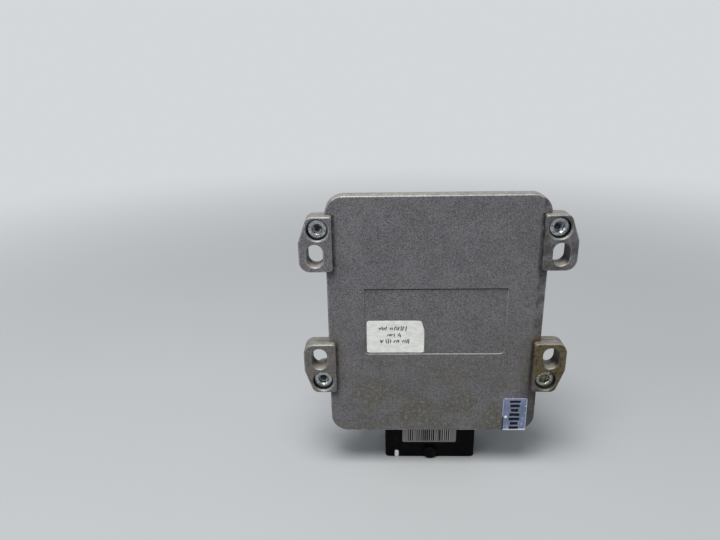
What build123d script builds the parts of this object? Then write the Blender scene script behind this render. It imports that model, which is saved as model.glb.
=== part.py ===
from build123d import *
import os

os.makedirs("parts", exist_ok=True)

# Control unit of an autogas system. It stands on the rim of its plug housing, with the
# mounting side towards -Y. Millimetres, +Z up. The origin is on the standing plane, midway
# across the unit and midway through its depth.

# Body: the cover and the rim of the housing share one outline
body_width = 95.8
body_height = 114.8
body_corner = 8.0
body_depth = 34.0
cover_thickness = 2.4
rim_thickness = 4.6
edge_break = 0.4
joint_chamfer = 0.3

# Tub of the housing, behind its rim
tub_step = 5.0
tub_wall = 2.5
tub_draft = 1.5
tub_back_chamfer = 1.6
cavity_corner = 4.0
rib_count = 9
rib_pitch = 8.4
rib_width = 2.6
rib_height = 2.5
rib_margin = 9.0
rib_draft = 4.0

# Ears: a cover layer and a housing layer, proud of the cover's face
ear_proud = 2.5
ear_thickness = 8.5
ear_reach = 11.5
ear_lap = 3.35
ear_height = 24.6
ear_pitch = 59.5
ear_mid_rise = 64.4
ear_slant_width = 4.0
ear_slant_height = 11.3
ear_inner_round = 1.5
ear_shoulder_round = 3.0
ear_slant_round = 4.0
ear_outer_round = 4.75
ear_foot_round = 1.9

# Mounting slots
slot_width = 7.0
slot_length = 10.2
slot_out = 4.5
slot_rise = 7.35
slot_chamfer = 0.4

# Cover screws, with low heads
screw_diameter = 5.0
screw_length = 10.0
screw_head_diameter = 8.5
screw_head_height = 3.4
screw_socket = 4.0
screw_socket_depth = 2.2
screw_head_chamfer = 0.4
screw_out = 3.2
screw_drop = 5.75
screw_sink = 0.4
counterbore_clearance = 0.3
counterbore_chamfer = 0.6
screw_clearance = 0.25
thread_clearance = 0.05
screw_boss_wall = 1.8
screw_boss_height = 6.5

# Label field in the cover
field_width = 63.6
field_height = 32.0
field_rise = 40.9
field_depth = 0.6
field_corner = 2.0

# Seals
groove_inset = 3.6
groove_width = 2.2
groove_depth = 1.5
gasket_clearance = 0.1
seal_thickness = 1.5

# Plug housing
shroud_width = 44.4
shroud_depth = 21.0
shroud_drop = 20.9
shroud_wall = 1.6
shroud_corner = 2.2
shroud_gap = 1.4
socket_depth = 18.0
web_thickness = 2.5
flange_lap = 1.9
flange_thickness = 2.5
collar_wall = 3.0
collar_rise = 0.5
neck_clearance = 0.2
latch_diameter = 6.4
latch_height = 1.9
latch_chamfer = 0.4
key_width = 2.0
key_depth = 1.5
key_spread = 24.0
lug_width = 3.4
lug_depth = 6.0
lug_height = 7.0

# Contact pins
pin_columns = 12
pin_pitch = 2.9
pin_row_pitch = 4.6
pin_size = 0.8
pin_reach = 11.0
pin_tip = 0.9
pin_bend_rise = 1.6
pin_bend_step = 2.6
pin_poke = 1.0
hole_clearance = 0.1

# Circuit board and what fixes it
board_thickness = 1.6
board_gap = 2.6
board_clearance = 0.6
board_corner = 2.0
post_diameter = 8.0
post_inset = 3.4
board_screw_diameter = 3.0
board_screw_length = 8.0
board_screw_head_diameter = 5.5
board_screw_head_height = 1.8
board_screw_recess = 1.0
board_screw_cross = 3.0
board_screw_slit = 0.7

# Chips with leads on their sides
chip_lead_pitch = 1.27
chip_lead_width = 0.5
chip_lead_reach = 0.9
chip_lead_thickness = 0.25
chip_height = 1.6
controller_size = 14.0
controller_lead_count = 9
memory_width = 5.0
memory_lead_count = 4
transceiver_width = 4.0
transceiver_lead_count = 7

# Other parts on the board
crystal_length = 11.2
crystal_width = 4.7
crystal_height = 3.5
crystal_lip = 0.5
regulator_width = 10.2
regulator_length = 8.8
regulator_height = 4.4
regulator_tab_length = 2.6
tab_thickness = 1.3
suppressor_length = 7.0
suppressor_width = 6.0
suppressor_height = 2.4
suppressor_cap_length = 1.2
choke_size = 12.0
choke_height = 7.0
choke_corner = 3.0
choke_core_diameter = 8.0
choke_core_rise = 0.5
can_count = 3
can_diameter = 10.0
can_height = 16.0
can_pitch = 13.0
can_base_size = 10.4
can_base_height = 1.2
filter_count = 5
filter_length = 3.2
filter_width = 2.5
filter_height = 1.8
filter_pitch = 4.6
resistor_count = 4
resistor_length = 14.0
resistor_width = 5.0
resistor_height = 5.0
resistor_pitch = 8.0

# Places on the board: insets from its side edges, shifts from its middle line and middle
# height, rises above the row of pins and drops below the clamp
controller_left = 10.0
controller_drop = 12.0
crystal_gap = 16.0
crystal_rise = 2.0
memory_right = 8.0
memory_rise = 20.8
transceiver_inset = 11.8
transceiver_rise = 14.6
suppressor_right = 9.0
suppressor_rise = 8.8
filter_left = 10.0
filter_rise = 6.8
regulator_right = 7.0
regulator_rise = 10.0
can_inset = 12.8
can_drop = 14.0
choke_inset = 12.8
choke_drop = 19.6
resistor_inset = 17.8
resistor_drop = 18.8

# Power transistors under their clamp
driver_count = 4
driver_pitch = 16.0
driver_width = 10.2
driver_body_length = 9.2
driver_length = 15.6
driver_thickness = 4.5
driver_lift = 4.0
driver_lead_pitch = 2.54
driver_lead_width = 0.8
driver_lead_thickness = 0.5
sink_thickness = 5.0
sink_margin = 3.5
pad_thickness = 0.4
pad_window = 4.0
clamp_width = 7.0
clamp_thickness = 1.2
clamp_margin = 2.0
clamp_screw_diameter = 3.0
clamp_screw_depth = 4.0
clamp_head_diameter = 5.5
clamp_head_height = 2.0

# Stickers and film
film_thickness = 0.15
sticker_width = 26.0
sticker_height = 15.9
sticker_inset = 1.2
sticker_rise = 0.7
sticker_corner = 1.2
sticker_clip_width = 2.3
sticker_clip_height = 4.8
bar_label_width = 26.6
bar_label_height = 12.0
bar_label_rise = 8.6
bar_label_shift = -0.5
bar_label_corner = 0.8
tape_width = 11.2
tape_height = 17.7
tape_inset = 3.7
tape_wrap = 4.5

# Heights
cover_low_z = shroud_drop
body_mid_z = cover_low_z + body_height / 2
ear_mid_z = cover_low_z + ear_mid_rise
ear_top_z = ear_mid_z + ear_pitch / 2 + ear_height / 2
ear_foot_z = ear_top_z - ear_height
cavity_inset = tub_step + tub_wall
cavity_low_z = cover_low_z + cavity_inset
cavity_top_z = cover_low_z + body_height - cavity_inset
flange_top_z = cavity_low_z + flange_thickness
board_low_z = cavity_low_z + board_clearance
board_top_z = cavity_top_z - board_clearance
board_mid_z = (board_low_z + board_top_z) / 2

# Depths, from the mounting side backwards
overall_depth = ear_proud + body_depth + rib_height
ear_front_y = -overall_depth / 2
face_y = ear_front_y + ear_proud
joint_y = face_y + cover_thickness
rim_back_y = joint_y + rim_thickness
ear_back_y = ear_front_y + ear_thickness
board_front_y = joint_y + board_gap
board_back_y = board_front_y + board_thickness
shroud_front_y = board_back_y + shroud_gap
shroud_back_y = shroud_front_y + shroud_depth
shroud_mid_y = (shroud_front_y + shroud_back_y) / 2
tub_back_y = face_y + body_depth
cavity_back_y = tub_back_y - tub_wall

# Half widths
body_half = body_width / 2
cavity_half = body_half - cavity_inset
board_half = cavity_half - board_clearance
shroud_half = shroud_width / 2
notch_half = shroud_half + seal_thickness


def upright(y):
    """Sketch plane at depth y: its x is the unit's x and its y is the unit's z.

    Extruding by a negative amount goes backwards, towards +Y."""
    return Plane.XZ.offset(-y)


def four_places(x, z):
    """The four places mirrored left to right and about the mid line of the ears."""
    return [(side * x, ear_mid_z + up * (z - ear_mid_z)) for side in (-1, 1) for up in (-1, 1)]


def save(builder, name):
    """Label a finished piece and write it."""
    builder.part.label = name
    export_step(builder.part, f"parts/{name}.step")


# Outline shared by the cover and the rim
with BuildSketch() as body_outline:
    with Locations((0, body_mid_z)):
        RectangleRounded(body_width, body_height, body_corner)

# Outline of the four ears, slanted on the side away from the middle
ear_outer_x = body_half + ear_reach
ear_inner_x = body_half - ear_lap
with BuildSketch() as ear_outline:
    with BuildLine():
        FilletPolyline(
            (ear_inner_x, ear_top_z),
            (ear_outer_x - ear_slant_width, ear_top_z),
            (ear_outer_x, ear_top_z - ear_slant_height),
            (ear_outer_x, ear_foot_z),
            (ear_inner_x, ear_foot_z),
            radius=[
                ear_inner_round,
                ear_shoulder_round,
                ear_slant_round,
                ear_outer_round,
                ear_foot_round,
            ],
            close=True,
        )
    make_face()
    mirror(about=Plane.YZ)
    mirror(about=Plane.XZ.offset(-ear_mid_z))

slot_places = four_places(body_half + slot_out, ear_foot_z + slot_rise)
screw_places = four_places(body_half + screw_out, ear_top_z - screw_drop)
seat_y = ear_front_y + screw_sink + screw_head_height

# Base cover: cast plate with raised ears, label field, counterbores and slots
with BuildPart() as base_cover:
    with BuildSketch(upright(face_y)):
        add(body_outline.sketch)
    extrude(amount=-cover_thickness)
    chamfer(base_cover.edges().group_by(Axis.Y)[0], edge_break)
    chamfer(base_cover.edges().group_by(Axis.Y)[-1], joint_chamfer)
    with BuildSketch(upright(ear_front_y)):
        add(ear_outline.sketch)
    extrude(amount=ear_front_y - joint_y)
    chamfer(base_cover.edges().group_by(Axis.Y)[0], edge_break)
    with BuildSketch(upright(face_y)):
        with Locations((0, cover_low_z + field_rise + field_height / 2)):
            RectangleRounded(field_width, field_height, field_corner)
    extrude(amount=-field_depth, mode=Mode.SUBTRACT)
    with BuildSketch(upright(ear_front_y)):
        with Locations(*slot_places):
            SlotOverall(slot_length, slot_width, rotation=90)
    extrude(amount=ear_front_y - joint_y, mode=Mode.SUBTRACT)
    ear_faces = base_cover.faces().group_by(Axis.Y)[0]
    slot_rims = [edge for face in ear_faces for rim in face.inner_wires() for edge in rim.edges()]
    chamfer(slot_rims, slot_chamfer)
    with BuildSketch(upright(ear_front_y)):
        with Locations(*screw_places):
            Circle(screw_head_diameter / 2 + counterbore_clearance)
    extrude(amount=ear_front_y - seat_y, mode=Mode.SUBTRACT)
    ear_faces = base_cover.faces().group_by(Axis.Y)[0]
    bore_rims = [rim.edge() for face in ear_faces for rim in face.inner_wires() if len(rim.edges()) == 1]
    chamfer(bore_rims, counterbore_chamfer)
    with BuildSketch(upright(seat_y)):
        with Locations(*screw_places):
            Circle(screw_diameter / 2 + screw_clearance)
    extrude(amount=seat_y - joint_y, mode=Mode.SUBTRACT)
save(base_cover, "base_cover")

# Housing: cast tub with a wide rim, its own ear layer and cooling ribs at the back
post_x = cavity_half - post_inset
post_low_z = cavity_low_z + post_inset
post_top_z = cavity_top_z - post_inset
post_places = [(side * post_x, z) for side in (-1, 1) for z in (post_low_z, post_top_z)]
sink_half = (driver_count - 1) * driver_pitch / 2 + driver_width / 2 + sink_margin
sink_front_y = board_back_y + driver_lift
sink_low_z = cavity_top_z - sink_thickness
clamp_places = [side * driver_pitch for side in (-1, 1)]
clamp_y = sink_front_y + driver_body_length / 2
notch_back_y = shroud_back_y + seal_thickness
collar_low_z = cover_low_z + collar_rise
with BuildPart() as housing:
    with BuildSketch(upright(joint_y)):
        add(body_outline.sketch)
    extrude(amount=-rim_thickness)
    chamfer(housing.edges().group_by(Axis.Y)[0], joint_chamfer)
    chamfer(housing.edges().group_by(Axis.Y)[-1], edge_break)
    with BuildSketch(upright(joint_y)):
        add(ear_outline.sketch)
    extrude(amount=joint_y - ear_back_y)
    with BuildSketch(upright(ear_back_y)):
        with Locations(*screw_places):
            Circle(screw_diameter / 2 + screw_boss_wall)
    extrude(amount=-screw_boss_height)
    with BuildSketch(upright(rim_back_y)):
        with Locations((0, body_mid_z)):
            RectangleRounded(
                body_width - 2 * tub_step,
                body_height - 2 * tub_step,
                cavity_corner + tub_wall,
            )
    extrude(amount=rim_back_y - tub_back_y, taper=tub_draft)
    chamfer(housing.edges().group_by(Axis.Y)[-1], tub_back_chamfer)
    with BuildSketch(upright(joint_y)):
        with Locations((0, (collar_low_z + cavity_low_z) / 2)):
            Rectangle(2 * (notch_half + collar_wall), cavity_low_z - collar_low_z)
    extrude(amount=joint_y - notch_back_y - collar_wall)
    with BuildSketch(upright(tub_back_y)):
        with Locations((0, body_mid_z)):
            with GridLocations(rib_pitch, 0, rib_count, 1):
                Rectangle(rib_width, body_height - 2 * (tub_step + rib_margin))
    extrude(amount=-rib_height, taper=rib_draft)
    with BuildSketch(upright(joint_y)):
        with Locations((0, body_mid_z)):
            RectangleRounded(2 * cavity_half, body_height - 2 * cavity_inset, cavity_corner)
    extrude(amount=joint_y - cavity_back_y, mode=Mode.SUBTRACT)
    with BuildSketch(upright(board_back_y)):
        with Locations(*post_places):
            Circle(post_diameter / 2)
    extrude(amount=board_back_y - cavity_back_y)
    with BuildSketch(upright(sink_front_y)):
        with Locations((0, (sink_low_z + cavity_top_z) / 2)):
            Rectangle(2 * sink_half, sink_thickness)
    extrude(amount=sink_front_y - cavity_back_y)
    with BuildSketch(Plane.XY.offset(sink_low_z)):
        with Locations(*[(x, clamp_y) for x in clamp_places]):
            Circle(clamp_screw_diameter / 2 + thread_clearance)
    extrude(amount=clamp_screw_depth, mode=Mode.SUBTRACT)
    with BuildSketch(upright(board_back_y)):
        with Locations(*post_places):
            Circle(board_screw_diameter / 2 + thread_clearance)
    extrude(amount=-board_screw_length, mode=Mode.SUBTRACT)
    with BuildSketch(upright(joint_y)):
        with Locations((0, body_mid_z)):
            RectangleRounded(
                body_width - 2 * groove_inset + groove_width,
                body_height - 2 * groove_inset + groove_width,
                body_corner - groove_inset + groove_width / 2,
            )
            RectangleRounded(
                body_width - 2 * groove_inset - groove_width,
                body_height - 2 * groove_inset - groove_width,
                body_corner - groove_inset - groove_width / 2,
                mode=Mode.SUBTRACT,
            )
    extrude(amount=-groove_depth, mode=Mode.SUBTRACT)
    with BuildSketch(upright(joint_y)):
        with Locations((0, (cover_low_z - collar_rise + cavity_low_z) / 2)):
            Rectangle(2 * notch_half, cavity_low_z - cover_low_z + collar_rise)
    extrude(amount=joint_y - notch_back_y, mode=Mode.SUBTRACT)
    with BuildSketch(upright(joint_y)):
        with Locations(*slot_places):
            SlotOverall(slot_length, slot_width, rotation=90)
        with Locations(*screw_places):
            Circle(screw_diameter / 2 + thread_clearance)
    extrude(amount=joint_y - ear_back_y - screw_boss_height, mode=Mode.SUBTRACT)
save(housing, "housing")

# Gasket: silicone ring that fills the groove up to the cover
with BuildPart() as cover_gasket:
    with BuildSketch(upright(joint_y)):
        with Locations((0, body_mid_z)):
            RectangleRounded(
                body_width - 2 * groove_inset + groove_width - 2 * gasket_clearance,
                body_height - 2 * groove_inset + groove_width - 2 * gasket_clearance,
                body_corner - groove_inset + groove_width / 2 - gasket_clearance,
            )
            RectangleRounded(
                body_width - 2 * groove_inset - groove_width + 2 * gasket_clearance,
                body_height - 2 * groove_inset - groove_width + 2 * gasket_clearance,
                body_corner - groove_inset - groove_width / 2 + gasket_clearance,
                mode=Mode.SUBTRACT,
            )
    extrude(amount=-groove_depth)
save(cover_gasket, "cover_gasket")

# Cover screws: low socket heads, sunk a little below the ears
with BuildPart() as cover_screws:
    with BuildSketch(upright(seat_y)):
        with Locations(*screw_places):
            Circle(screw_head_diameter / 2)
    extrude(amount=screw_head_height)
    chamfer(cover_screws.edges().group_by(Axis.Y)[0], screw_head_chamfer)
    with BuildSketch(upright(seat_y)):
        with Locations(*screw_places):
            Circle(screw_diameter / 2)
    extrude(amount=-screw_length)
    with BuildSketch(upright(seat_y - screw_head_height)):
        with Locations(*screw_places):
            RegularPolygon(screw_socket / 2, 6, major_radius=False)
    extrude(amount=-screw_socket_depth, mode=Mode.SUBTRACT)
save(cover_screws, "cover_screws")

# Header: moulded plug housing with a web for the pins, a flange inside the tub
# and a neck that closes the notch in the tub up to the cover
pin_rows = [row - 1 for row in range(3)]
pin_xs = [(column - (pin_columns - 1) / 2) * pin_pitch for column in range(pin_columns)]
pin_places = [(x, shroud_mid_y + row * pin_row_pitch) for x in pin_xs for row in pin_rows]
web_top_z = socket_depth + web_thickness
neck_front_y = joint_y + neck_clearance
flange_half = notch_half + flange_lap
groove_back_y = joint_y + groove_depth
with BuildPart() as connector_header:
    with BuildSketch(Plane.XY):
        with Locations((0, shroud_mid_y)):
            RectangleRounded(shroud_width, shroud_depth, shroud_corner)
    extrude(amount=flange_top_z)
    with BuildSketch(Plane.XY.offset(collar_low_z)):
        with Locations((0, (neck_front_y + shroud_back_y) / 2)):
            Rectangle(shroud_width, shroud_back_y - neck_front_y)
    extrude(amount=cavity_low_z - collar_low_z)
    with BuildSketch(Plane.XY.offset(cavity_low_z)):
        with Locations((0, (board_back_y + shroud_back_y) / 2)):
            Rectangle(2 * flange_half, shroud_back_y - board_back_y)
    extrude(amount=flange_thickness)
    with BuildSketch(Plane.XY.offset(flange_top_z)):
        for side in (-1, 1):
            with Locations((side * (flange_half - lug_width / 2), board_back_y + lug_depth / 2)):
                Rectangle(lug_width, lug_depth)
    extrude(amount=lug_height)
    with BuildSketch(upright(shroud_front_y)):
        with Locations((0, latch_diameter / 2)):
            Circle(latch_diameter / 2)
    extrude(amount=latch_height)
    latch_front = connector_header.faces().filter_by(GeomType.PLANE).filter_by(Axis.Y)
    latch_front = latch_front.filter_by_position(Axis.Y, *[shroud_front_y - latch_height] * 2)
    chamfer(latch_front.edges(), latch_chamfer)
    with BuildSketch(Plane.XY):
        with Locations((0, shroud_mid_y)):
            RectangleRounded(
                shroud_width - 2 * shroud_wall,
                shroud_depth - 2 * shroud_wall,
                shroud_corner - shroud_wall / 2,
            )
        for side in (-1, 1):
            with Locations((side * key_spread / 2, shroud_back_y - shroud_wall - key_depth / 2)):
                Rectangle(key_width, key_depth, mode=Mode.SUBTRACT)
    extrude(amount=socket_depth, mode=Mode.SUBTRACT)
    with BuildSketch(Plane.XY.offset(web_top_z)):
        with Locations((0, shroud_mid_y)):
            Rectangle(shroud_width - 2 * shroud_wall, shroud_depth - 2 * shroud_wall)
    extrude(amount=flange_top_z - web_top_z, mode=Mode.SUBTRACT)
    with BuildSketch(Plane.XY.offset(socket_depth)):
        with Locations(*pin_places):
            Rectangle(pin_size, pin_size)
    extrude(amount=web_thickness, mode=Mode.SUBTRACT)
    with BuildSketch(upright(joint_y)):
        with Locations((0, cover_low_z + groove_inset)):
            Rectangle(shroud_width, groove_width)
    extrude(amount=-groove_depth, mode=Mode.SUBTRACT)
save(connector_header, "connector_header")

# Seal of the header: rubber strip round three sides of the neck
with BuildPart() as header_seal:
    with BuildSketch(Plane.XY.offset(collar_low_z)):
        with BuildLine():
            Polyline(
                (shroud_half, groove_back_y),
                (notch_half, groove_back_y),
                (notch_half, notch_back_y),
                (-notch_half, notch_back_y),
                (-notch_half, groove_back_y),
                (-shroud_half, groove_back_y),
                (-shroud_half, shroud_back_y),
                (shroud_half, shroud_back_y),
                close=True,
            )
        make_face()
    extrude(amount=cavity_low_z - collar_low_z)
save(header_seal, "header_seal")

# Contact pins: up through the web, then over to the board, the front row lowest
tip_z = socket_depth - pin_reach
with BuildPart() as connector_pins:
    for row in pin_rows:
        front_y = shroud_mid_y + row * pin_row_pitch - pin_size / 2
        leg_z = flange_top_z + pin_bend_rise + (row + 1) * pin_bend_step
        with BuildSketch(*[Plane.YZ.offset(x - pin_size / 2) for x in pin_xs]):
            with BuildLine():
                Polyline(
                    (front_y + pin_size / 2, tip_z),
                    (front_y + pin_size, tip_z + pin_tip),
                    (front_y + pin_size, leg_z + pin_size),
                    (board_front_y - pin_poke, leg_z + pin_size),
                    (board_front_y - pin_poke, leg_z),
                    (front_y, leg_z),
                    (front_y, tip_z + pin_tip),
                    close=True,
                )
            make_face()
        extrude(amount=pin_size)
save(connector_pins, "connector_pins")

# Power transistors, pressed flat against the block under the tub's top wall
driver_xs = [(place - (driver_count - 1) / 2) * driver_pitch for place in range(driver_count)]
driver_top_z = sink_low_z - pad_thickness
driver_lead_z = driver_top_z - tab_thickness - (driver_thickness - tab_thickness) / 2
driver_leads = [x + step * driver_lead_pitch for x in driver_xs for step in (-1, 0, 1)]
with BuildPart() as injector_drivers:
    with BuildSketch(Plane.XY.offset(driver_top_z)):
        with Locations(*[(x, sink_front_y + driver_length / 2) for x in driver_xs]):
            Rectangle(driver_width, driver_length)
    extrude(amount=-tab_thickness)
    with BuildSketch(Plane.XY.offset(driver_top_z - tab_thickness)):
        with Locations(*[(x, clamp_y) for x in driver_xs]):
            Rectangle(driver_width, driver_body_length)
    extrude(amount=tab_thickness - driver_thickness)
    with BuildSketch(upright(board_front_y - pin_poke)):
        with Locations(*[(x, driver_lead_z) for x in driver_leads]):
            Rectangle(driver_lead_width, driver_lead_thickness)
    extrude(amount=board_front_y - pin_poke - sink_front_y)
save(injector_drivers, "injector_drivers")

# Thermal pad between the transistors and their block
with BuildPart() as thermal_pad:
    with BuildSketch(Plane.XY.offset(driver_top_z)):
        with Locations((0, sink_front_y + driver_length / 2)):
            Rectangle(2 * (sink_half - sink_margin), driver_length)
        with Locations(*[(x, clamp_y) for x in clamp_places]):
            Rectangle(pad_window, pad_window, mode=Mode.SUBTRACT)
    extrude(amount=pad_thickness)
save(thermal_pad, "thermal_pad")

# Clamp bar: steel strip across the transistors' bodies
clamp_top_z = driver_top_z - driver_thickness
with BuildPart() as clamp_bar:
    with BuildSketch(Plane.XY.offset(clamp_top_z)):
        with Locations((0, clamp_y)):
            Rectangle(2 * (sink_half - clamp_margin), clamp_width)
        with Locations(*[(x, clamp_y) for x in clamp_places]):
            Circle(clamp_screw_diameter / 2 + screw_clearance, mode=Mode.SUBTRACT)
    extrude(amount=-clamp_thickness)
save(clamp_bar, "clamp_bar")

# Clamp screws: through the bar and the pad into the block
clamp_seat_z = clamp_top_z - clamp_thickness
with BuildPart() as clamp_screws:
    with BuildSketch(Plane.XY.offset(clamp_seat_z)):
        with Locations(*[(x, clamp_y) for x in clamp_places]):
            Circle(clamp_screw_diameter / 2)
    extrude(amount=sink_low_z + clamp_screw_depth - clamp_seat_z)
    with BuildSketch(Plane.XY.offset(clamp_seat_z)):
        with Locations(*[(x, clamp_y) for x in clamp_places]):
            Circle(clamp_head_diameter / 2)
    extrude(amount=-clamp_head_height)
save(clamp_screws, "clamp_screws")

# Circuit board: on the tub's posts, drilled for the pins and the transistors' leads
pin_holes = [
    (x, flange_top_z + pin_bend_rise + (row + 1) * pin_bend_step + pin_size / 2)
    for x in pin_xs
    for row in pin_rows
]
with BuildPart() as circuit_board:
    with BuildSketch(upright(board_front_y)):
        with Locations((0, board_mid_z)):
            RectangleRounded(2 * board_half, board_top_z - board_low_z, board_corner)
        with Locations(*post_places):
            Circle(board_screw_diameter / 2 + screw_clearance, mode=Mode.SUBTRACT)
        with Locations(*pin_holes):
            Rectangle(pin_size + 2 * hole_clearance, pin_size + 2 * hole_clearance, mode=Mode.SUBTRACT)
        with Locations(*[(x, driver_lead_z) for x in driver_leads]):
            Rectangle(
                driver_lead_width + 2 * hole_clearance,
                driver_lead_thickness + 2 * hole_clearance,
                mode=Mode.SUBTRACT,
            )
    extrude(amount=-board_thickness)
save(circuit_board, "circuit_board")

# Board screws: pan heads with a cross recess
with BuildPart() as board_screws:
    with BuildSketch(upright(board_front_y)):
        with Locations(*post_places):
            Circle(board_screw_head_diameter / 2)
    extrude(amount=board_screw_head_height)
    with BuildSketch(upright(board_front_y)):
        with Locations(*post_places):
            Circle(board_screw_diameter / 2)
    extrude(amount=-board_screw_length)
    with BuildSketch(upright(board_front_y - board_screw_head_height)):
        with Locations(*post_places):
            Rectangle(board_screw_cross, board_screw_slit)
            Rectangle(board_screw_slit, board_screw_cross)
    extrude(amount=-board_screw_recess, mode=Mode.SUBTRACT)
save(board_screws, "board_screws")


def chip(x, z, width, height, leads, four_sides=False):
    """One chip on the back of the board: a moulded body and flat leads along its sides."""
    with BuildPart() as builder:
        with BuildSketch(upright(board_back_y)):
            with Locations((x, z)):
                Rectangle(width, height)
                with GridLocations(0, chip_lead_pitch, 1, leads):
                    Rectangle(width + 2 * chip_lead_reach, chip_lead_width)
                if four_sides:
                    with GridLocations(chip_lead_pitch, 0, leads, 1):
                        Rectangle(chip_lead_width, height + 2 * chip_lead_reach)
        extrude(amount=-chip_lead_thickness)
        with BuildSketch(upright(board_back_y + chip_lead_thickness)):
            with Locations((x, z)):
                Rectangle(width, height)
        extrude(amount=chip_lead_thickness - chip_height)
    return builder


header_line_z = flange_top_z + pin_bend_rise + 2 * pin_bend_step + pin_size
clamp_line_z = clamp_seat_z - clamp_head_height
controller_place = (-controller_left, board_mid_z - controller_drop)
crystal_place = (controller_place[0] - crystal_gap, controller_place[1] + crystal_rise)
memory_place = (memory_right, header_line_z + memory_rise)
transceiver_place = (transceiver_inset - board_half, header_line_z + transceiver_rise)
suppressor_place = (suppressor_right, header_line_z + suppressor_rise)
filter_place = (-filter_left, header_line_z + filter_rise)
regulator_place = (regulator_right, board_mid_z + regulator_rise)
can_place = (board_half - can_inset, board_mid_z - can_drop)
choke_place = (board_half - choke_inset, clamp_line_z - choke_drop)
resistor_place = (resistor_inset - board_half, clamp_line_z - resistor_drop)

microcontroller = chip(*controller_place, controller_size, controller_size, controller_lead_count, True)
save(microcontroller, "microcontroller")
memory_chip = chip(*memory_place, memory_width, memory_lead_count * chip_lead_pitch, memory_lead_count)
save(memory_chip, "memory_chip")
line_transceiver = chip(
    *transceiver_place, transceiver_width, transceiver_lead_count * chip_lead_pitch, transceiver_lead_count
)
save(line_transceiver, "line_transceiver")

# Quartz crystal: pressed can on its base
with BuildPart() as quartz_crystal:
    with BuildSketch(upright(board_back_y)):
        with Locations(crystal_place):
            Rectangle(crystal_length, crystal_width)
    extrude(amount=-crystal_lip)
    with BuildSketch(upright(board_back_y + crystal_lip)):
        with Locations(crystal_place):
            SlotOverall(crystal_length - crystal_lip, crystal_width - crystal_lip)
    extrude(amount=crystal_lip - crystal_height)
save(quartz_crystal, "quartz_crystal")

# Voltage regulator: flat power case with its tab on the board
with BuildPart() as voltage_regulator:
    with BuildSketch(upright(board_back_y)):
        with Locations(regulator_place):
            Rectangle(regulator_width, regulator_length + 2 * regulator_tab_length)
    extrude(amount=-tab_thickness)
    with BuildSketch(upright(board_back_y + tab_thickness)):
        with Locations(regulator_place):
            Rectangle(regulator_width, regulator_length)
    extrude(amount=tab_thickness - regulator_height)
save(voltage_regulator, "voltage_regulator")

# Surge suppressor: moulded block with wrapped ends
with BuildPart() as surge_suppressor:
    with BuildSketch(upright(board_back_y)):
        with Locations(suppressor_place):
            Rectangle(suppressor_length, suppressor_width)
            Rectangle(suppressor_length + 2 * suppressor_cap_length, suppressor_width / 2)
    extrude(amount=-suppressor_height)
save(surge_suppressor, "surge_suppressor")

# Supply choke: ferrite block with a round core
with BuildPart() as supply_choke:
    with BuildSketch(upright(board_back_y)):
        with Locations(choke_place):
            RectangleRounded(choke_size, choke_size, choke_corner)
    extrude(amount=-choke_height)
    with BuildSketch(upright(board_back_y + choke_height)):
        with Locations(choke_place):
            Circle(choke_core_diameter / 2)
    extrude(amount=-choke_core_rise)
save(supply_choke, "supply_choke")

# Storage capacitors: aluminium cans on square feet
with BuildPart() as storage_capacitors:
    with BuildSketch(upright(board_back_y)):
        with Locations(can_place):
            with GridLocations(0, can_pitch, 1, can_count):
                Rectangle(can_base_size, can_base_size)
    extrude(amount=-can_base_height)
    with BuildSketch(upright(board_back_y)):
        with Locations(can_place):
            with GridLocations(0, can_pitch, 1, can_count):
                Circle(can_diameter / 2)
    extrude(amount=-can_height)
save(storage_capacitors, "storage_capacitors")

# Filter capacitors: a row of ceramic blocks beside the pins
with BuildPart() as filter_capacitors:
    with BuildSketch(upright(board_back_y)):
        with Locations(filter_place):
            with GridLocations(filter_pitch, 0, filter_count, 1):
                Rectangle(filter_width, filter_length)
    extrude(amount=-filter_height)
save(filter_capacitors, "filter_capacitors")

# Emulation resistors: ceramic load blocks in a row
with BuildPart() as emulation_resistors:
    with BuildSketch(upright(board_back_y)):
        with Locations(resistor_place):
            with GridLocations(resistor_pitch, 0, resistor_count, 1):
                Rectangle(resistor_width, resistor_length)
    extrude(amount=-resistor_height)
save(emulation_resistors, "emulation_resistors")

# Paper sticker in the lower left of the label field, with one corner clipped
sticker_left = sticker_inset - field_width / 2
sticker_low = cover_low_z + field_rise + sticker_rise
sticker_right = sticker_left + sticker_width
sticker_top = sticker_low + sticker_height
with BuildPart() as paper_sticker:
    with BuildSketch(upright(face_y + field_depth)):
        with BuildLine():
            FilletPolyline(
                (sticker_left, sticker_low),
                (sticker_right, sticker_low),
                (sticker_right, sticker_top - sticker_clip_height),
                (sticker_right - sticker_clip_width, sticker_top),
                (sticker_left, sticker_top),
                radius=[sticker_corner, sticker_corner, 0, 0, sticker_corner],
                close=True,
            )
        make_face()
    extrude(amount=film_thickness)
save(paper_sticker, "paper_sticker")

# Bar label on the front wall of the plug housing
with BuildPart() as barcode_label:
    with BuildSketch(upright(shroud_front_y)):
        with Locations((bar_label_shift, bar_label_rise + bar_label_height / 2)):
            RectangleRounded(bar_label_width, bar_label_height, bar_label_corner)
    extrude(amount=film_thickness)
save(barcode_label, "barcode_label")

# Tape strip: down the face and folded under the lower edge
tape_right = body_half - tape_inset
with BuildPart() as tape_strip:
    with BuildSketch(Plane.YZ.offset(tape_right - tape_width)):
        with BuildLine():
            Polyline(
                (face_y, cover_low_z + tape_height),
                (face_y - film_thickness, cover_low_z + tape_height),
                (face_y - film_thickness, cover_low_z - film_thickness),
                (face_y + tape_wrap, cover_low_z - film_thickness),
                (face_y + tape_wrap, cover_low_z),
                (face_y, cover_low_z),
                close=True,
            )
        make_face()
    extrude(amount=tape_width)
save(tape_strip, "tape_strip")
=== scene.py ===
import math
import random
import bpy
from mathutils import Matrix, Vector


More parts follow.
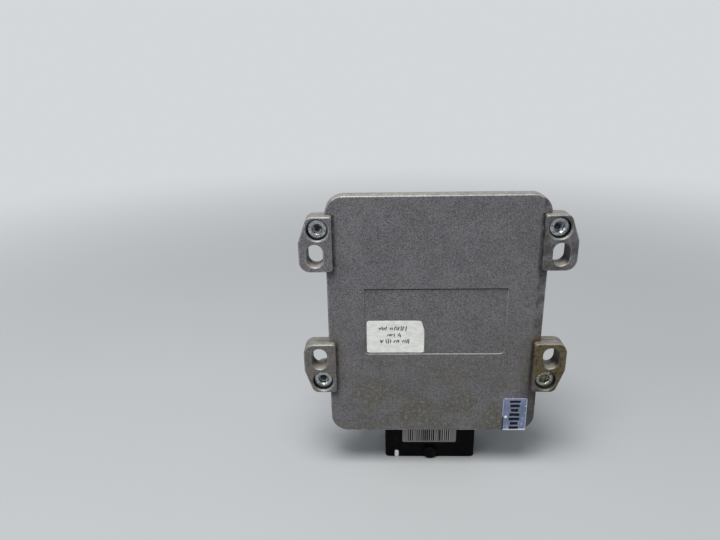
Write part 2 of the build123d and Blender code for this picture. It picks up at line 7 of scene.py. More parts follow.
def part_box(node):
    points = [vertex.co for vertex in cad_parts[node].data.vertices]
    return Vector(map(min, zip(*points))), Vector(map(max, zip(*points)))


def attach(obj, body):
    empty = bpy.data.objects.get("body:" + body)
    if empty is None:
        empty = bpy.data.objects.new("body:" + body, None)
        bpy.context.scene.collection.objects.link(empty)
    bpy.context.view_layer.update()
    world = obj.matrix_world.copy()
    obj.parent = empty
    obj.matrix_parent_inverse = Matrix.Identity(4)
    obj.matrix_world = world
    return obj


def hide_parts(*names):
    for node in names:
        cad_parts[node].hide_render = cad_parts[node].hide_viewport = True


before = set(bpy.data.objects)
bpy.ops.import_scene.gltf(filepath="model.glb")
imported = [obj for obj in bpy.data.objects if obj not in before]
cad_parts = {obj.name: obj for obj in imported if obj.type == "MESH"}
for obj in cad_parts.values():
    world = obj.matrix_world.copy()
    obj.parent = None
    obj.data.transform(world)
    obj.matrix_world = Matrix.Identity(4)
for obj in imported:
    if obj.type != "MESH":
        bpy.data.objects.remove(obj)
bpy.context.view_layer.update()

# Camera
# The view is from a little above the unit and left of its middle line, tipped down at it. The
# place and the lens were worked out from the edges of the case, the ears and the screws.
camera = bpy.data.objects.new("camera", bpy.data.cameras.new("camera"))
bpy.context.collection.objects.link(camera)
bpy.context.scene.camera = camera
camera.data.sensor_width = 36.0
camera.data.lens = 29.96
camera.data.clip_start = 0.01
camera_place = Matrix.Translation((-0.02505, -0.26234, 0.19130))
camera_turn = Matrix.Rotation(0.0329, 4, "Z")
camera_tip = Matrix.Rotation(math.pi / 2 - 0.3455, 4, "X")
camera_roll = Matrix.Rotation(-0.0184, 4, "Z")
camera.matrix_world = camera_place @ camera_turn @ camera_tip @ camera_roll

# Table and air
# A plain pale table top that runs on to the horizon, under pale air of the same shade. The
# table is a smooth painted board, and the unit stands on it by the rim of its plug housing.
air_shade = (0.66, 0.68, 0.70)
haze_start = 0.20
haze_end = 0.85
bpy.context.scene.view_settings.view_transform = "Standard"
bpy.ops.mesh.primitive_plane_add(size=12.0, location=(0, 0, 0))
table_top = bpy.context.object
table_top.name = "table_top"


def new_finish(name, roughness, metal=0.0):
    """A new material with its plain values set on its shader."""
    finish = bpy.data.materials.new(name)
    finish.use_nodes = True
    shader = finish.node_tree.nodes["Principled BSDF"]
    shader.inputs["Roughness"].default_value = roughness
    shader.inputs["Metallic"].default_value = metal
    return finish, finish.node_tree, shader


def feed(tree, socket, value):
    """Gives a socket a plain value, a colour or another node's output."""
    if isinstance(value, bpy.types.NodeSocket):
        tree.links.new(value, socket)
    elif isinstance(value, tuple) and len(value) == 3 and socket.type == "RGBA":
        socket.default_value = (*value, 1.0)
    else:
        socket.default_value = value


def place_on(tree):
    """The coordinates of the point on the piece, in metres."""
    for node in tree.nodes:
        if node.bl_idname == "ShaderNodeTexCoord":
            return node.outputs["Object"]
    return tree.nodes.new("ShaderNodeTexCoord").outputs["Object"]


def distance_from(tree, place):
    """How far the point on the piece is from a place."""
    node = tree.nodes.new("ShaderNodeVectorMath")
    node.operation = "DISTANCE"
    tree.links.new(place_on(tree), node.inputs[0])
    node.inputs[1].default_value = place
    return node.outputs["Value"]


def blotches(tree, size, detail=4.0, rough=0.55, stretch=(1.0, 1.0, 1.0)):
    """Noise with blotches about as large as the given size, longer where stretched."""
    squeeze = tree.nodes.new("ShaderNodeMapping")
    squeeze.inputs["Scale"].default_value = tuple(1.0 / (size * along) for along in stretch)
    tree.links.new(place_on(tree), squeeze.inputs["Vector"])
    noise = tree.nodes.new("ShaderNodeTexNoise")
    noise.inputs["Scale"].default_value = 1.0
    noise.inputs["Detail"].default_value = detail
    noise.inputs["Roughness"].default_value = rough
    tree.links.new(squeeze.outputs["Vector"], noise.inputs["Vector"])
    return noise.outputs[0]


def reckon(tree, kind, *values):
    """One sum on numbers: MULTIPLY, SUBTRACT, MAXIMUM, LESS_THAN and their like."""
    node = tree.nodes.new("ShaderNodeMath")
    node.operation = kind
    for socket, value in zip(node.inputs, values):
        feed(tree, socket, value)
    return node.outputs[0]


def rise(tree, value, start, end, low=0.0, high=1.0):
    """Goes smoothly from low to high as the value goes from start to end."""
    node = tree.nodes.new("ShaderNodeMapRange")
    node.interpolation_type = "SMOOTHSTEP"
    feed(tree, node.inputs["Value"], value)
    node.inputs["From Min"].default_value = start
    node.inputs["From Max"].default_value = end
    node.inputs["To Min"].default_value = low
    node.inputs["To Max"].default_value = high
    return node.outputs["Result"]


def mixed(tree, amount, first, second):
    """Two colours mixed by an amount."""
    node = tree.nodes.new("ShaderNodeMix")
    node.data_type = "RGBA"
    feed(tree, node.inputs[0], amount)
    feed(tree, node.inputs[6], first)
    feed(tree, node.inputs[7], second)
    return node.outputs[2]


def two_tone(tree, shader, amount, first, second):
    """Makes the base colour a mix of two colours by an amount."""
    feed(tree, shader.inputs["Base Color"], mixed(tree, amount, first, second))


def relief(tree, shader, height, depth, strength=1.0):
    """Raises the surface by a height of 0 to 1 times the depth in metres, over any before."""
    node = tree.nodes.new("ShaderNodeBump")
    node.inputs["Strength"].default_value = strength
    node.inputs["Distance"].default_value = depth
    feed(tree, node.inputs["Height"], height)
    normal = shader.inputs["Normal"]
    if normal.is_linked:
        tree.links.new(normal.links[0].from_socket, node.inputs["Normal"])
    tree.links.new(node.outputs["Normal"], normal)


table_paint, tree, shader = new_finish("table_paint", 0.6)
two_tone(tree, shader, blotches(tree, 0.2), (0.385, 0.40, 0.42), (0.415, 0.43, 0.445))
relief(tree, shader, blotches(tree, 0.004), 0.00005, 0.3)
ray = tree.nodes.new("ShaderNodeLightPath")
far_off = rise(tree, distance_from(tree, (0, 0, 0)), haze_start, haze_end)
far_seen = reckon(tree, "MULTIPLY", far_off, ray.outputs["Is Camera Ray"])
haze = tree.nodes.new("ShaderNodeEmission")
feed(tree, haze.inputs["Color"], air_shade)
fading = tree.nodes.new("ShaderNodeMixShader")
tree.links.new(far_seen, fading.inputs[0])
tree.links.new(shader.outputs[0], fading.inputs[1])
tree.links.new(haze.outputs[0], fading.inputs[2])
tree.links.new(fading.outputs[0], tree.nodes["Material Output"].inputs["Surface"])
table_top.data.materials.append(table_paint)

air = bpy.data.worlds.new("air")
bpy.context.scene.world = air
air.use_nodes = True
tree = air.node_tree
tree.nodes.clear()
seen_air = tree.nodes.new("ShaderNodeBackground")
feed(tree, seen_air.inputs["Color"], air_shade)
lit_air = tree.nodes.new("ShaderNodeBackground")
feed(tree, lit_air.inputs["Color"], (0.93, 0.97, 1.0))
lit_air.inputs["Strength"].default_value = 0.30
ray = tree.nodes.new("ShaderNodeLightPath")
either_air = tree.nodes.new("ShaderNodeMixShader")
air_out = tree.nodes.new("ShaderNodeOutputWorld")
seen_or_mirrored = reckon(tree, "MAXIMUM", ray.outputs["Is Camera Ray"], ray.outputs["Is Glossy Ray"])
tree.links.new(seen_or_mirrored, either_air.inputs[0])
tree.links.new(lit_air.outputs[0], either_air.inputs[1])
tree.links.new(seen_air.outputs[0], either_air.inputs[2])
tree.links.new(either_air.outputs[0], air_out.inputs[0])


# Lamps
# A soft lamp hangs high over the unit and a little in front, which brightens the edges that
# face up and rakes down the mounting side, and a weak one in front on the left fills it.
def soft_lamp(name, place, power, colour, width=0.5, target=(0, 0, 0.07)):
    """A square lamp that faces a target."""
    lamp = bpy.data.objects.new(name, bpy.data.lights.new(name, "AREA"))
    bpy.context.collection.objects.link(lamp)
    lamp.data.size = width
    lamp.data.energy = power
    lamp.data.color = colour
    turn = (Vector(place) - Vector(target)).to_track_quat("Z", "Y")
    lamp.matrix_world = Matrix.Translation(place) @ turn.to_matrix().to_4x4()


soft_lamp("over_lamp", (-0.13, -0.34, 1.05), 13.0, (1.0, 0.985, 0.95))
soft_lamp("front_lamp", (-0.60, -0.50, 0.35), 1.6, (0.93, 0.96, 1.0))

# Base cover
# A plate die-cast in aluminium, with four raised ears, a shallow label field and smooth slots.
# It is shot-blasted, has soft cast edges, and grime lies on it towards its lower edge.
cast_edge = 0.00018
joint_y = -0.0146
screw_radius = 0.00425
screws_low, screws_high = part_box("cover_screws")
screw_x = screws_high[0] - screw_radius
ears_z = (screws_low[2] + screws_high[2]) / 2
screw_rise = 0.0363
ear_rise = 0.0298
ear_half_height = 0.0126
ear_edge_x = 0.0446
slot_x = 0.0524
slot_rise = 0.0248
slot_half_width = 0.0037
slot_half_length = 0.0054
bore_low_y = -0.0186
field_top_z = 0.0936
field_half_width = 0.0316
field_floor_y = -0.0160
stain_x, stain_y, stain_z = 0.0525, -0.0175, 0.0600
# The dark of grime and painted shade at the ears' edges and round the screw heads.
grime_and_shade = (0.02, 0.02, 0.021)
# The black of painted shade in recesses.
black_shade = (0.012, 0.012, 0.013)


def parts_of(tree, vector):
    """The x, y and z of a vector."""
    split = tree.nodes.new("ShaderNodeSeparateXYZ")
    tree.links.new(vector, split.inputs[0])
    return split.outputs[0], split.outputs[1], split.outputs[2]


def facing(tree):
    """The x, y and z of the direction that the surface faces."""
    return parts_of(tree, tree.nodes.new("ShaderNodeNewGeometry").outputs["Normal"])


def all_of(tree, *values):
    """The product of several numbers."""
    product = values[0]
    for value in values[1:]:
        product = reckon(tree, "MULTIPLY", product, value)
    return product


def apart(tree, first, second):
    """How far two numbers are apart."""
    return reckon(tree, "ABSOLUTE", reckon(tree, "SUBTRACT", first, second))


def length_of(tree, first, second):
    """The length of the slope of two offsets."""
    squares = reckon(tree, "ADD", all_of(tree, first, first), all_of(tree, second, second))
    return reckon(tree, "SQRT", squares)


def around_screws(tree):
    """The offsets of a point, across and along, from the axis of the nearest cover screw."""
    x, _, z = parts_of(tree, place_on(tree))
    across = reckon(tree, "SUBTRACT", reckon(tree, "ABSOLUTE", x), screw_x)
    return across, reckon(tree, "SUBTRACT", apart(tree, z, ears_z), screw_rise)


def on_cover(tree):
    """1 in front of the joint, which is on the cover, and 0 behind it."""
    return reckon(tree, "LESS_THAN", parts_of(tree, place_on(tree))[1], joint_y - 0.0001)


def lay_over(tree, shader, amount, colour):
    """Lays a colour over the base colour by an amount."""
    under = shader.inputs["Base Color"].links[0].from_socket
    two_tone(tree, shader, amount, under, colour)


def lay_blasted_metal(tree, shader, light, dark):
    """Cloudy grey metal with the fine grain and the pale specks that shot-blasting leaves."""
    two_tone(tree, shader, rise(tree, blotches(tree, 0.010, 6.0, 0.6), 0.3, 0.7), dark, light)
    grain = blotches(tree, 0.00052, 3.0, 0.8)
    lay_over(tree, shader, rise(tree, grain, 0.5, 0.66, 0.0, 0.8), tuple(shade * 1.6 for shade in light))
    lay_over(tree, shader, rise(tree, grain, 0.5, 0.34, 0.0, 0.85), tuple(shade * 0.4 for shade in dark))
    specks = rise(tree, blotches(tree, 0.0014, 2.0), 0.70, 0.78, 0.0, 0.5)
    lay_over(tree, shader, specks, (0.42, 0.41, 0.39))
    relief(tree, shader, grain, 0.00016, 0.5)
    relief(tree, shader, blotches(tree, 0.003, 3.0), 0.0001, 0.3)


def lay_low_dirt(tree, shader):
    """Brown patches that thicken towards the lower edge, with pale and dark crumbs in them."""
    low_down = rise(tree, parts_of(tree, place_on(tree))[2], 0.095, 0.02)
    patches = all_of(tree, low_down, rise(tree, blotches(tree, 0.016, 6.0, 0.65), 0.38, 0.58))
    lay_over(tree, shader, all_of(tree, patches, 0.75), (0.110, 0.104, 0.084))
    pale = rise(tree, blotches(tree, 0.0017, 4.0, 0.7), 0.50, 0.66, 0.0, 0.65)
    lay_over(tree, shader, all_of(tree, patches, pale), (0.29, 0.285, 0.24))
    dark = rise(tree, blotches(tree, 0.0013, 4.0, 0.7), 0.47, 0.36, 0.0, 0.6)
    lay_over(tree, shader, all_of(tree, patches, dark), (0.05, 0.043, 0.03))


def lay_dust_and_under_shade(tree, shader, metal):
    """Pale dust on what faces up, which dulls the metal there, and painted shade on the undersides."""
    facing_z = facing(tree)[2]
    settled = rise(tree, blotches(tree, 0.003, 4.0), 0.25, 0.7, 0.15, 0.6)
    dusty = all_of(tree, settled, rise(tree, facing_z, 0.35, 0.9))
    lay_over(tree, shader, dusty, (0.35, 0.335, 0.30))
    # Painted shade: the faces that point down are darkened.
    lay_over(tree, shader, rise(tree, facing_z, -0.3, -0.9, 0.0, 0.45), (0.05, 0.05, 0.05))
    feed(tree, shader.inputs["Metallic"], reckon(tree, "SUBTRACT", metal, all_of(tree, dusty, 0.5)))


def lay_ear_stains(tree, shader):
    """Smudges on the right ears and a brown burnt stain on the lower one, faint on the left ear."""
    x, y, z = parts_of(tree, place_on(tree))
    off_top = rise(tree, facing(tree)[2], 0.9, 0.4, 0.2, 1.0)
    smudges = rise(tree, blotches(tree, 0.0045, 5.0), 0.38, 0.62, 0.05, 0.75)
    on_right = rise(tree, x, ear_edge_x - 0.0008, ear_edge_x)
    lay_over(tree, shader, all_of(tree, smudges, off_top, on_right), (0.06, 0.055, 0.05))
    height = length_of(tree, reckon(tree, "SUBTRACT", y, stain_y), reckon(tree, "SUBTRACT", z, stain_z))
    from_stain = length_of(tree, reckon(tree, "SUBTRACT", reckon(tree, "ABSOLUTE", x), stain_x), height)
    mostly_right = rise(tree, x, ear_edge_x - 0.0008, ear_edge_x, 0.25, 1.0)
    stained = all_of(tree, rise(tree, from_stain, 0.0170, 0.008), off_top, mostly_right)
    brown = rise(tree, blotches(tree, 0.004, 6.0, 0.7), 0.25, 0.6, 0.2, 0.95)
    lay_over(tree, shader, all_of(tree, stained, brown), (0.125, 0.096, 0.038))
    burnt = rise(tree, blotches(tree, 0.0018, 6.0, 0.75), 0.48, 0.60, 0.0, 0.8)
    lay_over(tree, shader, all_of(tree, stained, burnt), (0.038, 0.027, 0.012))


def lay_edge_grime_and_shade(tree, shader):
    """Grime in the joint, and grime and painted shade along the inner edges of the ears and just below the
    ears.
    """
    x, y, z = parts_of(tree, place_on(tree))
    in_joint = rise(tree, apart(tree, y, joint_y), 0.0004, 0.0001, 0.0, 0.7)
    lay_over(tree, shader, in_joint, (0.025, 0.024, 0.022))
    to_ear = reckon(tree, "SUBTRACT", ear_edge_x, reckon(tree, "ABSOLUTE", x))
    # Grime and painted shade in a patchy band along the inner edge of each ear.
    at_edge = all_of(tree, rise(tree, to_ear, 0.0015, 0.0), rise(tree, to_ear, -0.0006, -0.0002))
    from_ear = apart(tree, apart(tree, z, ears_z), ear_rise)
    beside = reckon(tree, "LESS_THAN", from_ear, ear_half_height)
    patchy_band = rise(tree, blotches(tree, 0.003, 4.0), 0.25, 0.65, 0.3, 0.8)
    lay_over(tree, shader, all_of(tree, at_edge, beside, patchy_band, on_cover(tree)), grime_and_shade)
    # Painted shade, with some grime, fading downwards just below each ear.
    below = 0.0
    for ear_z in (ears_z + ear_rise, ears_z - ear_rise):
        foot_z = ear_z - ear_half_height
        thickening = rise(tree, z, foot_z - 0.0050, foot_z - 0.0003)
        ending = rise(tree, z, foot_z + 0.0003, foot_z - 0.0001)
        below = reckon(tree, "MAXIMUM", below, all_of(tree, thickening, ending))
    near_ear = rise(tree, to_ear, 0.0020, -0.0010, 0.0, 0.75)
    lay_over(tree, shader, all_of(tree, below, near_ear, on_cover(tree)), grime_and_shade)


def lay_slot_light_and_shade(tree, shader):
    """Painted light on the slot walls on the left and painted shade on those on the right, pale dust and
    painted light on the slot floors, and painted shade on the walls behind the cover.
    """
    x, _, z = parts_of(tree, place_on(tree))
    facing_x, _, facing_z = facing(tree)
    from_middle = apart(tree, apart(tree, z, ears_z), slot_rise)
    from_axis = apart(tree, reckon(tree, "ABSOLUTE", x), slot_x)
    in_slot = all_of(
        tree,
        reckon(tree, "LESS_THAN", from_middle, slot_half_length),
        reckon(tree, "LESS_THAN", from_axis, slot_half_width),
    )
    wall = all_of(tree, in_slot, rise(tree, reckon(tree, "ABSOLUTE", facing_x), 0.35, 0.8))
    floor = all_of(tree, in_slot, rise(tree, facing_z, 0.35, 0.9, 0.0, 0.6))
    front_wall = all_of(tree, wall, on_cover(tree))
    back_wall = all_of(tree, wall, reckon(tree, "SUBTRACT", 1.0, on_cover(tree)))
    # Painted light on the front slot walls on the left, and painted shade on those on the right.
    painted_wall_light = all_of(tree, front_wall, rise(tree, x, -0.01, 0.01, 0.6, 0.1))
    lay_over(tree, shader, painted_wall_light, (0.26, 0.25, 0.235))
    painted_wall_shade = all_of(tree, front_wall, rise(tree, x, -0.01, 0.01, 0.0, 0.8))
    lay_over(tree, shader, painted_wall_shade, (0.03, 0.028, 0.026))
    # Pale dust and painted light on the floors of the slots.
    lay_over(tree, shader, all_of(tree, floor, on_cover(tree)), (0.38, 0.35, 0.29))
    # Painted shade on the slot walls behind the cover.
    lay_over(tree, shader, all_of(tree, back_wall, 0.85), (0.022, 0.021, 0.02))


def lay_deep_shade(tree, shader):
    """Painted black shade in the screws' bores and under the field's upper step, and painted shade in a
    lower corner.
    """
    x, y, z = parts_of(tree, place_on(tree))
    # Painted black shade deep in each screw's counterbore.
    bore = rise(tree, length_of(tree, *around_screws(tree)), 0.00472, 0.00458, 0.0, 0.95)
    deep = rise(tree, y, bore_low_y - 0.0004, bore_low_y)
    lay_over(tree, shader, all_of(tree, bore, deep, on_cover(tree)), black_shade)
    # Patchy painted shade in the cover's lower right corner.
    low_corner = all_of(tree, rise(tree, x, 0.037, 0.045), rise(tree, z, 0.060, 0.040), on_cover(tree))
    dull = rise(tree, blotches(tree, 0.004, 5.0), 0.2, 0.6, 0.3, 0.7)
    lay_over(tree, shader, all_of(tree, low_corner, dull), (0.045, 0.038, 0.032))
    # Painted shadow under the upper step of the label field.
    step = all_of(
        tree,
        rise(tree, apart(tree, z, field_top_z), 0.00048, 0.0002, 0.0, 0.95),
        reckon(tree, "LESS_THAN", reckon(tree, "ABSOLUTE", x), field_half_width),
        reckon(tree, "LESS_THAN", y, field_floor_y),
    )
    lay_over(tree, shader, step, black_shade)


def cast_finish(name, light, dark):
    """Shot-blasted cast metal under the dust, stains and grime of years beside an engine, with painted light
    and shade in its slots, bores and corners and on its undersides.
    """
    metal = 0.6
    finish, tree, shader = new_finish(name, 0.5, metal)
    lay_blasted_metal(tree, shader, light, dark)
    lay_low_dirt(tree, shader)
    lay_dust_and_under_shade(tree, shader, metal)
    lay_ear_stains(tree, shader)
    lay_edge_grime_and_shade(tree, shader)
    lay_slot_light_and_shade(tree, shader)
    lay_deep_shade(tree, shader)
    return finish


def pick_only(piece):
    """Selects one piece and makes it the active one."""
    if bpy.context.mode != "OBJECT":
        bpy.ops.object.mode_set(mode="OBJECT")
    bpy.ops.object.select_all(action="DESELECT")
    piece.select_set(True)
    bpy.context.view_layer.objects.active = piece


def edit_all(piece, kind="FACE"):
    """Opens a piece in edit mode with all of its faces, edges or corner points selected."""
    pick_only(piece)
    bpy.ops.object.mode_set(mode="EDIT")
    bpy.ops.mesh.select_mode(type=kind)
    bpy.ops.mesh.select_all(action="SELECT")


def edit_faces(piece, test):
    """Opens a piece in edit mode with just those faces selected whose middle and normal pass."""
    edit_all(piece)
    bpy.ops.mesh.select_all(action="DESELECT")
    bpy.ops.object.mode_set(mode="OBJECT")
    for face in piece.data.polygons:
        face.select = test(face.center, face.normal)
    bpy.ops.object.mode_set(mode="EDIT")


def add_modifier(piece, kind, **values):
    """Adds one modifier to a piece and applies it."""
    pick_only(piece)
    modifier = piece.modifiers.new(kind.lower(), kind)
    for name, value in values.items():
        setattr(modifier, name, value)
    bpy.ops.object.modifier_apply(modifier=modifier.name)


def softened_cast(node, name, edge, finishes):
    """A merged copy of a CAD node with rounded edges, which take the last of its finishes."""
    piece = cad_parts[node].copy()
    piece.data = piece.data.copy()
    piece.name = name
    bpy.context.collection.objects.link(piece)
    piece.data.materials.clear()
    for finish in finishes:
        piece.data.materials.append(finish)
    edit_all(piece)
    bpy.ops.mesh.remove_doubles(threshold=0.000002)
    bpy.ops.mesh.dissolve_limited(angle_limit=math.radians(1.0))
    bpy.ops.object.mode_set(mode="OBJECT")
    worn = len(finishes) - 1
    add_modifier(piece, "BEVEL", width=edge, segments=2, angle_limit=math.radians(28.0), material=worn)
    bpy.ops.object.shade_smooth_by_angle(angle=math.radians(40.0))
    add_modifier(piece, "WEIGHTED_NORMAL", keep_sharp=True)
    return piece


cover_metal = cast_finish("cover_metal", (0.166, 0.160, 0.170), (0.130, 0.125, 0.134))
cover_wear = cast_finish("cover_wear", (0.34, 0.33, 0.33), (0.19, 0.185, 0.19))
base_cover = softened_cast("base_cover", "cast_base_cover", cast_edge, [cover_metal, cover_wear])
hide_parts("base_cover")
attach(base_cover, "root")

# Housing
# A tub die-cast in aluminium behind the cover, with a wide rim, the ears' back layers, screw
# bosses and cooling ribs. It has the cover's blasted finish, a little lighter on its walls.
tub_metal = cast_finish("tub_metal", (0.186, 0.181, 0.175), (0.134, 0.131, 0.128))
tub_wear = cast_finish("tub_wear", (0.34, 0.33, 0.32), (0.20, 0.195, 0.19))
housing = softened_cast("housing", "cast_housing", cast_edge, [tub_metal, tub_wear])
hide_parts("housing")
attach(housing, "root")


# Gasket and header seal
# A dispensed silicone ring lies in the rim's groove, and a moulded rubber strip runs round the
# neck of the plug housing. Both are matt and a little dusty.
def repaint(node, finish):
    """Gives a CAD node a finish in its material slots."""
    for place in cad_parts[node].material_slots:
        place.material = finish


rubber, tree, shader = new_finish("seal_rubber", 0.7)
dust = rise(tree, blotches(tree, 0.002, 5.0), 0.4, 0.75)
two_tone(tree, shader, dust, (0.018, 0.018, 0.019), (0.07, 0.068, 0.063))
relief(tree, shader, blotches(tree, 0.0006), 0.00006, 0.5)
repaint("cover_gasket", rubber)
repaint("header_seal", rubber)

# Cover screws
# Four steel socket screws with low knurled heads, zinc plated. They go through the cover's
# counterbored ears into the bosses behind the housing's ears, each turned as it came to rest.
head_top_y = screws_low[1]
head_height = 0.0034
head_edge = 0.00022
knurl_flats = 84
groove_margin = 0.00003
groove_scale = (0.965, 0.965, 0.94)
turning_pitch = 0.00042
mouth_radius = 0.0026
mouth_low_radius = 0.0020
mouth_depth = 0.0004
key_size = 0.0040
key_depth = 0.0022
drill_depth = 0.0009
shank_length = 0.0100
shank_core = 0.0021
shank_chamfer = 0.0004
thread_top = 0.00248
thread_pitch = 0.0008
thread_turns = 11
thread_root = thread_pitch * 0.8
crest_share = 0.2
thread_end_z = -shank_length + 0.0006


def wave(tree, value, pitch):
    """Swings between -1 and 1, once in each pitch of a value."""
    return reckon(tree, "SINE", reckon(tree, "MULTIPLY", value, 2 * math.pi / pitch))


def band(tree, value, start, end, soft=0.0001):
    """1 where a value lies between start and end, with soft edges."""
    starting = rise(tree, value, start - soft, start + soft)
    return all_of(tree, starting, rise(tree, value, end + soft, end - soft))


def zinc_finish(name, colour, age):
    """Zinc plate over steel, with duller and browner patches where it has aged."""
    finish, tree, shader = new_finish(name, 0.32, 0.9)
    worn = rise(tree, blotches(tree, 0.0011, 5.0), 0.40, 0.66)
    two_tone(tree, shader, all_of(tree, worn, age), colour, (0.085, 0.075, 0.06))
    green = rise(tree, blotches(tree, 0.0024, 3.0), 0.5, 0.65, 0.0, 0.4)
    lay_over(tree, shader, green, (0.20, 0.27, 0.27))
    feed(tree, shader.inputs["Roughness"], rise(tree, worn, 0.0, 1.0, 0.22, 0.5))
    relief(tree, shader, blotches(tree, 0.0005, 3.0), 0.00004, 0.5)
    return finish


def head_finish(name, colour, age, socket_rust_and_shade):
    """The zinc of a cover screw: turning lines, a painted highlight on the socket mouth, painted shade in
    the knurl grooves and round the head's rim, grime and painted shade in the socket, and a given colour at
    its bottom.
    """
    finish = zinc_finish(name, colour, age)
    tree = finish.node_tree
    shader = tree.nodes["Principled BSDF"]
    across, along = around_screws(tree)
    from_axis = length_of(tree, across, along)
    on_top = reckon(tree, "LESS_THAN", parts_of(tree, place_on(tree))[1], head_top_y + 0.0004)
    turned = wave(tree, from_axis, turning_pitch)
    face = all_of(tree, band(tree, from_axis, 0.0027, 0.0037), on_top)
    lay_over(tree, shader, all_of(tree, face, rise(tree, turned, -0.6, 0.6, 0.1, 0.55)), (0.12, 0.125, 0.13))
    # Painted highlight on the chamfer round the socket's mouth.
    mouth_highlight = all_of(tree, band(tree, from_axis, 0.0022, mouth_radius), on_top)
    lay_over(tree, shader, all_of(tree, mouth_highlight, 0.7), (0.75, 0.76, 0.77))
    # Painted shade in the grooves of the knurled side.
    knurls = wave(tree, reckon(tree, "ARCTAN2", across, along), 4 * math.pi / knurl_flats)
    side = all_of(tree, rise(tree, from_axis, 0.0037, 0.0040), rise(tree, turned, -1.0, 1.0, 0.6, 1.0))
    lay_over(tree, shader, all_of(tree, side, rise(tree, knurls, -0.4, 0.4, 0.0, 0.8)), (0.05, 0.05, 0.052))
    # Painted shade round the rim of the head, in the gap to its counterbore.
    lay_over(tree, shader, rise(tree, from_axis, 0.0039, 0.0041, 0.0, 0.8), grime_and_shade)
    # Grime and painted shade in the socket.
    socket_patches = rise(tree, blotches(tree, 0.0010, 4.0), 0.30, 0.6, 0.5, 0.95)
    socket_grime_and_shade = all_of(tree, socket_patches, rise(tree, from_axis, 0.0021, 0.0017))
    lay_over(tree, shader, socket_grime_and_shade, (0.012, 0.012, 0.015))
    # The given colour at the bottom of the socket: rust on the stained screw, painted shade on the others.
    lay_over(tree, shader, rise(tree, from_axis, 0.0017, 0.0009, 0.0, 0.85), socket_rust_and_shade)
    relief(tree, shader, all_of(tree, turned, face), 0.00002, 0.5)
    return finish


def is_groove(middle, normal):
    """Every second flat of the knurled side."""
    turn = math.degrees(math.atan2(middle.y, middle.x)) % 360
    return abs(normal.z) < 0.1 and int(turn / (360 / knurl_flats)) % 2 == 0


def cut_out(piece, cutter):
    """Cuts the shape of a cutter out of a piece and throws the cutter away."""
    add_modifier(piece, "BOOLEAN", object=cutter, operation="DIFFERENCE", solver="EXACT")
    bpy.data.objects.remove(cutter)


bpy.ops.mesh.primitive_cylinder_add(
    vertices=knurl_flats, radius=screw_radius, depth=head_height, location=(0, 0, head_height / 2)
)
screw = bpy.context.object
edit_faces(screw, lambda middle, normal: normal.z > 0.9)
bpy.ops.mesh.bevel(offset=head_edge, segments=2, affect="EDGES")
edit_faces(screw, is_groove)
bpy.ops.mesh.inset(thickness=groove_margin, use_individual=True)
bpy.ops.transform.resize(value=groove_scale)
bpy.ops.object.mode_set(mode="OBJECT")

bpy.ops.mesh.primitive_cone_add(
    vertices=48,
    radius1=mouth_low_radius,
    radius2=mouth_radius,
    depth=mouth_depth * 1.5,
    location=(0, 0, head_height - mouth_depth / 2),
)
cut_out(screw, bpy.context.object)
bpy.ops.mesh.primitive_cylinder_add(
    vertices=6, radius=key_size / math.sqrt(3), depth=key_depth * 2, location=(0, 0, head_height)
)
key_cutter = bpy.context.object
edit_faces(key_cutter, lambda middle, normal: normal.z < -0.9)
bpy.ops.mesh.extrude_region_move(TRANSFORM_OT_translate={"value": (0, 0, -drill_depth)})
bpy.ops.transform.resize(value=(0.05, 0.05, 1.0))
cut_out(screw, key_cutter)

bpy.ops.mesh.primitive_cylinder_add(
    vertices=32, radius=shank_core, depth=shank_length, location=(0, 0, -shank_length / 2)
)
shank = bpy.context.object
edit_faces(shank, lambda middle, normal: normal.z < -0.9)
bpy.ops.mesh.bevel(offset=shank_chamfer, segments=1, affect="EDGES")
bpy.ops.object.mode_set(mode="OBJECT")

bpy.ops.mesh.primitive_plane_add(size=thread_root, location=(shank_core, 0, thread_end_z))
thread = bpy.context.object
thread.rotation_euler = (math.pi / 2, 0, 0)
bpy.ops.object.transform_apply(location=True, rotation=True, scale=True)
for corner in thread.data.vertices:
    outside = corner.co.x > shank_core
    corner.co.x = thread_top if outside else shank_core - 0.00005
    corner.co.z = thread_end_z + (corner.co.z - thread_end_z) * (crest_share if outside else 1.0)
add_modifier(
    thread,
    "SCREW",
    axis="Z",
    steps=20,
    render_steps=20,
    screw_offset=thread_pitch,
    iterations=thread_turns,
    use_merge_vertices=True,
)
edit_all(thread)
bpy.ops.mesh.remove_doubles(threshold=0.000001)
bpy.ops.mesh.select_all(action="SELECT")
bpy.ops.mesh.normals_make_consistent(inside=False)
pick_only(screw)
shank.select_set(True)
thread.select_set(True)
bpy.ops.object.join()
bpy.ops.object.shade_smooth_by_angle(angle=math.radians(30.0))

